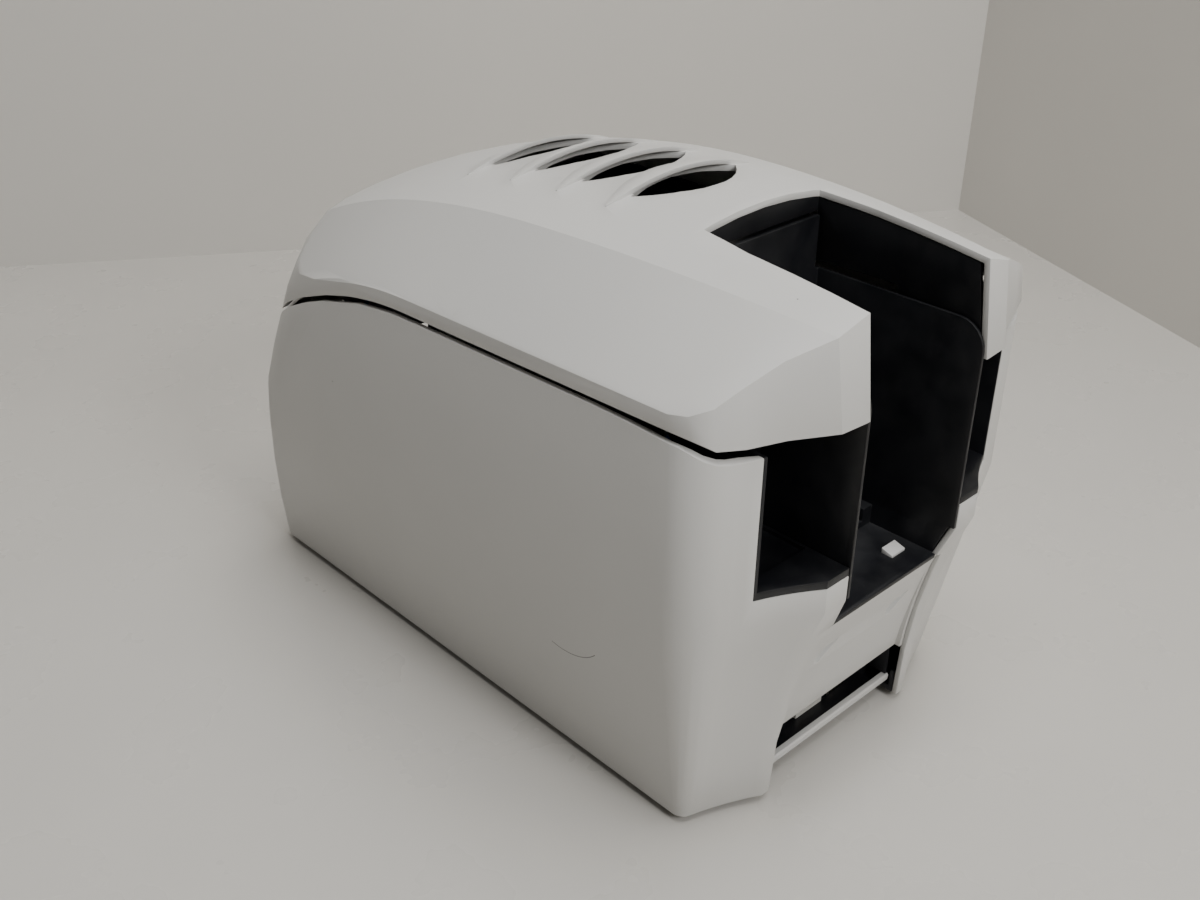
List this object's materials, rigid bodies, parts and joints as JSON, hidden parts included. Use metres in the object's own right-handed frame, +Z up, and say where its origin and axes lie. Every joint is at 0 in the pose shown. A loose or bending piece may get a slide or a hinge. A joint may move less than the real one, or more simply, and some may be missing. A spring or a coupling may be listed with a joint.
{
  "type": "id_card_printer",
  "caption": "Desktop id card printer with a hinged white hood, a row of air vents, a black rear feeder bay and a roller mechanism",
  "frame": {"origin": "On the table under the middle of the printer", "axes": "+X to the right seen from the front, +Y to the rear, +Z up; the front faces -Y"},
  "size_m": [0.205, 0.338, 0.24],
  "materials": {
    "white_shell": "satin",
    "black_moulding": "satin",
    "rubber_black": "matte",
    "bright_steel": "satin",
    "head_metal": "satin",
    "gear_plastic": "satin",
    "pinion_brass": "satin",
    "ribbon_blue": "gloss",
    "ribbon_plum": "gloss",
    "roller_blue": "matte",
    "light_lens": "gloss",
    "board_green": "satin"
  },
  "bodies": {
    "base": {"side_casing_right": "white_shell", "side_casing_left": "white_shell", "rear_panel": "white_shell", "port_sill": "white_shell", "front_panel": "white_shell", "base_pan": "black_moulding", "rubber_feet": "rubber_black", "feeder_bay": "black_moulding", "pocket_liner_right": "black_moulding", "pocket_liner_left": "black_moulding", "side_frame_right": "bright_steel", "side_frame_left": "bright_steel", "cross_ties": "bright_steel", "hinge_bracket_right": "bright_steel", "hinge_bracket_left": "bright_steel", "catch_clip": "bright_steel", "motor": "black_moulding", "button_lenses": "light_lens", "connector_plate": "black_moulding", "power_socket": "black_moulding", "network_socket": "white_shell", "usb_socket": "bright_steel", "main_board": "board_green", "base_screws": "bright_steel"},
    "hood": {"hood_shell": "white_shell", "notch_liner": "black_moulding", "hood_liner": "black_moulding", "hinge_arm_right": "black_moulding", "hinge_arm_left": "black_moulding", "hinge_pin_right": "bright_steel", "hinge_pin_left": "bright_steel", "vent_fan_frame": "black_moulding", "catch_tongue": "black_moulding", "head_hangers": "bright_steel", "head_pivot_rod": "bright_steel"},
    "print_head": {"head_bracket": "bright_steel", "thermal_head": "head_metal", "head_heat_sink": "head_metal"},
    "fan": {"vent_fan_rotor": "black_moulding"},
    "catch": {"feeder_catch": "white_shell"},
    "gate": {"thickness_gate": "bright_steel"},
    "platen": {"platen_shaft": "bright_steel", "platen_sleeve": "rubber_black", "platen_gear": "gear_plastic"},
    "pinion": {"motor_pinion": "pinion_brass"},
    "feed_roller": {"feed_shaft": "bright_steel", "feed_tyres": "rubber_black", "feed_gear": "gear_plastic"},
    "eject_roller": {"eject_shaft": "bright_steel", "eject_tyres": "rubber_black", "eject_gear": "gear_plastic"},
    "idler_front": {"idler_front": "gear_plastic"},
    "idler_rear": {"idler_rear": "gear_plastic"},
    "cleaner": {"cleaning_roller": "roller_blue"},
    "supply": {"supply_core": "gear_plastic", "supply_ribbon": "ribbon_blue"},
    "takeup": {"takeup_core": "gear_plastic", "takeup_ribbon": "ribbon_plum"},
    "button": {"control_button": "white_shell"}
  },
  "joints": [
    {"name": "hood_hinge", "type": "hinge", "parent": "base", "child": "hood", "pos_m": [0, 0.144, 0.171], "axis": [-1, 0, 0], "range_deg": [0, 75]},
    {"name": "head_pivot", "type": "hinge", "parent": "hood", "child": "print_head", "pos_m": [0, 0.042, 0.131], "axis": [-1, 0, 0], "range_deg": [0, 6], "stiffness_Nm_per_rad": 0.5},
    {"name": "fan_spin", "type": "hinge", "parent": "hood", "child": "fan", "pos_m": [0, 0.008, 0.206], "axis": [0, 0, 1], "continuous": true},
    {"name": "platen_spin", "type": "hinge", "parent": "base", "child": "platen", "pos_m": [0, 0.008, 0.089], "axis": [1, 0, 0], "continuous": true},
    {"name": "pinion_spin", "type": "hinge", "parent": "base", "child": "pinion", "pos_m": [0, 0.008, 0.07085], "axis": [1, 0, 0], "continuous": true},
    {"name": "feed_spin", "type": "hinge", "parent": "base", "child": "feed_roller", "pos_m": [0, 0.06226, 0.091], "axis": [1, 0, 0], "continuous": true},
    {"name": "eject_spin", "type": "hinge", "parent": "base", "child": "eject_roller", "pos_m": [0, -0.04626, 0.091], "axis": [1, 0, 0], "continuous": true},
    {"name": "idler_rear_spin", "type": "hinge", "parent": "base", "child": "idler_rear", "pos_m": [0, 0.03513, 0.09], "axis": [1, 0, 0], "continuous": true},
    {"name": "idler_front_spin", "type": "hinge", "parent": "base", "child": "idler_front", "pos_m": [0, -0.01913, 0.09], "axis": [1, 0, 0], "continuous": true},
    {"name": "cleaner_spin", "type": "hinge", "parent": "base", "child": "cleaner", "pos_m": [0, 0.036, 0.1042], "axis": [1, 0, 0], "continuous": true},
    {"name": "supply_spin", "type": "hinge", "parent": "base", "child": "supply", "pos_m": [0, 0.064, 0.168], "axis": [1, 0, 0], "continuous": true},
    {"name": "takeup_spin", "type": "hinge", "parent": "base", "child": "takeup", "pos_m": [0, -0.056, 0.15], "axis": [1, 0, 0], "continuous": true},
    {"name": "button_press", "type": "slide", "parent": "base", "child": "button", "axis": [0, 1, 0], "range_m": [0, 0.0015], "stiffness_N_per_m": 150},
    {"name": "catch_press", "type": "slide", "parent": "base", "child": "catch", "axis": [0, 0, -1], "range_m": [0, 0.002], "stiffness_N_per_m": 150},
    {"name": "gate_slide", "type": "slide", "parent": "base", "child": "gate", "axis": [0, 0, 1], "range_m": [0, 0.003]}
  ],
  "couplings": [
    {"joint": "pinion_spin", "follows": "platen_spin", "ratio": -2},
    {"joint": "idler_rear_spin", "follows": "platen_spin", "ratio": -0.8},
    {"joint": "idler_front_spin", "follows": "platen_spin", "ratio": -0.8},
    {"joint": "feed_spin", "follows": "platen_spin", "ratio": 1},
    {"joint": "eject_spin", "follows": "platen_spin", "ratio": 1}
  ]
}
